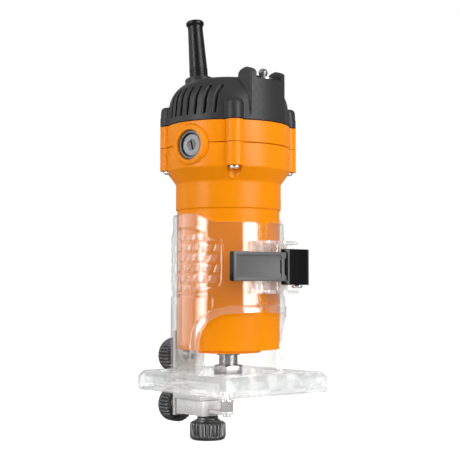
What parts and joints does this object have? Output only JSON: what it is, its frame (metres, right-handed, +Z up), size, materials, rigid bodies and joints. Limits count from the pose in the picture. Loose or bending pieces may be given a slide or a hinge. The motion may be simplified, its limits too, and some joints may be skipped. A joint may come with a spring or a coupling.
{
  "type": "trim router",
  "caption": "Handheld trim router with round motor, clear lever-clamp base, collet, and a roller guide with knurled knobs under the sole.",
  "frame": {"origin": "on the spindle axis, in the plane of the base's sole", "axes": "+Z up the motor along the spindle, -Y to the front (split sleeve, clamp lever and viewing window), +Y to the guide, +X to the right seen from the front"},
  "size_m": [0.0852, 0.1129, 0.2758],
  "materials": {
    "orange_housing": "satin orange moulded housing, fine texture",
    "charcoal_plastic": "dark grey textured moulding",
    "black_plastic": "black moulded plastic",
    "rubber": "black flexible rubber",
    "clear_plastic": "clear polycarbonate",
    "cast_metal": "bead-blasted zinc die casting",
    "steel": "turned, plated steel",
    "copper_wire": "enamelled copper winding",
    "brass": "copper alloy segments",
    "carbon": "carbon brush",
    "grey_plastic": "grey moulded plastic",
    "lever_grey": "dark grey lever cover plate, fine texture"
  },
  "bodies": {
    "base": {"base_housing": "clear_plastic", "clamp_bolt": "steel", "clamp_nut": "steel", "clamp_washer": "steel", "clamp_pin": "steel"},
    "lever": {"clamp_lever": "black_plastic", "lever_cover": "lever_grey"},
    "motor": {"motor_housing": "orange_housing", "brush_housing": "orange_housing", "top_cover": "charcoal_plastic", "strain_relief": "rubber", "housing_screw_1": "steel", "housing_screw_2": "steel", "housing_screw_3": "steel", "housing_screw_4": "steel", "brush_holder_left": "black_plastic", "brush_holder_right": "black_plastic", "carbon_brush_left": "carbon", "carbon_brush_right": "carbon", "brush_cap_left": "grey_plastic", "brush_cap_right": "grey_plastic", "stator_core": "steel", "stator_winding_lower": "copper_wire", "stator_winding_upper": "copper_wire", "switch_body": "black_plastic", "switch_bezel": "steel", "lower_bearing": "steel", "upper_bearing": "steel", "spindle_seal": "steel"},
    "switch": {"switch_toggle": "grey_plastic"},
    "spindle": {"spindle_shaft": "steel", "armature_core": "steel", "armature_winding": "copper_wire", "commutator": "brass", "cooling_fan": "black_plastic", "collet_nut": "steel", "collet": "steel"},
    "guide": {"guide_holder": "cast_metal"},
    "guide_slide": {"guide_arm": "cast_metal", "roller_pin": "steel"},
    "roller": {"guide_roller": "steel"},
    "clamp_knob": {"guide_clamp_knob": "black_plastic"},
    "reach_knob": {"reach_knob": "black_plastic"},
    "lock_knob": {"lock_knob": "black_plastic"}
  },
  "joints": [
    {"name": "motor_depth", "type": "slide", "parent": "base", "child": "motor", "axis": [0, 0, 1], "range_m": [-0.001, 0.035]},
    {"name": "spindle_spin", "type": "hinge", "parent": "motor", "child": "spindle", "pos_m": [0, 0, 0.1], "axis": [0, 0, 1], "continuous": true},
    {"name": "switch_tilt", "type": "hinge", "parent": "motor", "child": "switch", "pos_m": [0.00222, -0.03182, 0.1875], "axis": [0.9976, 0.0698, 0], "range_deg": [-12, 12]},
    {"name": "lever_swing", "type": "hinge", "parent": "base", "child": "lever", "pos_m": [0.0203, -0.0425, 0.0768], "axis": [0, 0, 1], "range_deg": [0, 110]},
    {"name": "guide_height", "type": "slide", "parent": "base", "child": "guide", "axis": [0, 0, -1], "range_m": [0, 0.01]},
    {"name": "clamp_knob_turn", "type": "hinge", "parent": "base", "child": "clamp_knob", "pos_m": [0, 0.0468, 0.0193], "axis": [0, 1, 0], "range_deg": [0, 720]},
    {"name": "reach_knob_turn", "type": "hinge", "parent": "guide", "child": "reach_knob", "pos_m": [0, 0.0468, -0.0132], "axis": [0, 1, 0], "range_deg": [-3601, 0]},
    {"name": "guide_reach", "type": "slide", "parent": "guide", "child": "guide_slide", "axis": [0, 1, 0], "range_m": [-0.008, 0]},
    {"name": "lock_knob_turn", "type": "hinge", "parent": "guide", "child": "lock_knob", "pos_m": [0, 0.0213, -0.018], "axis": [0, 0, 1], "range_deg": [0, 720]},
    {"name": "roller_spin", "type": "hinge", "parent": "guide_slide", "child": "roller", "pos_m": [0, 0.0017, -0.0105], "axis": [0, 0, 1], "continuous": true}
  ],
  "couplings": [
    {"joint": "reach_knob_turn", "follows": "guide_reach", "rad_per_m": 7854}
  ]
}
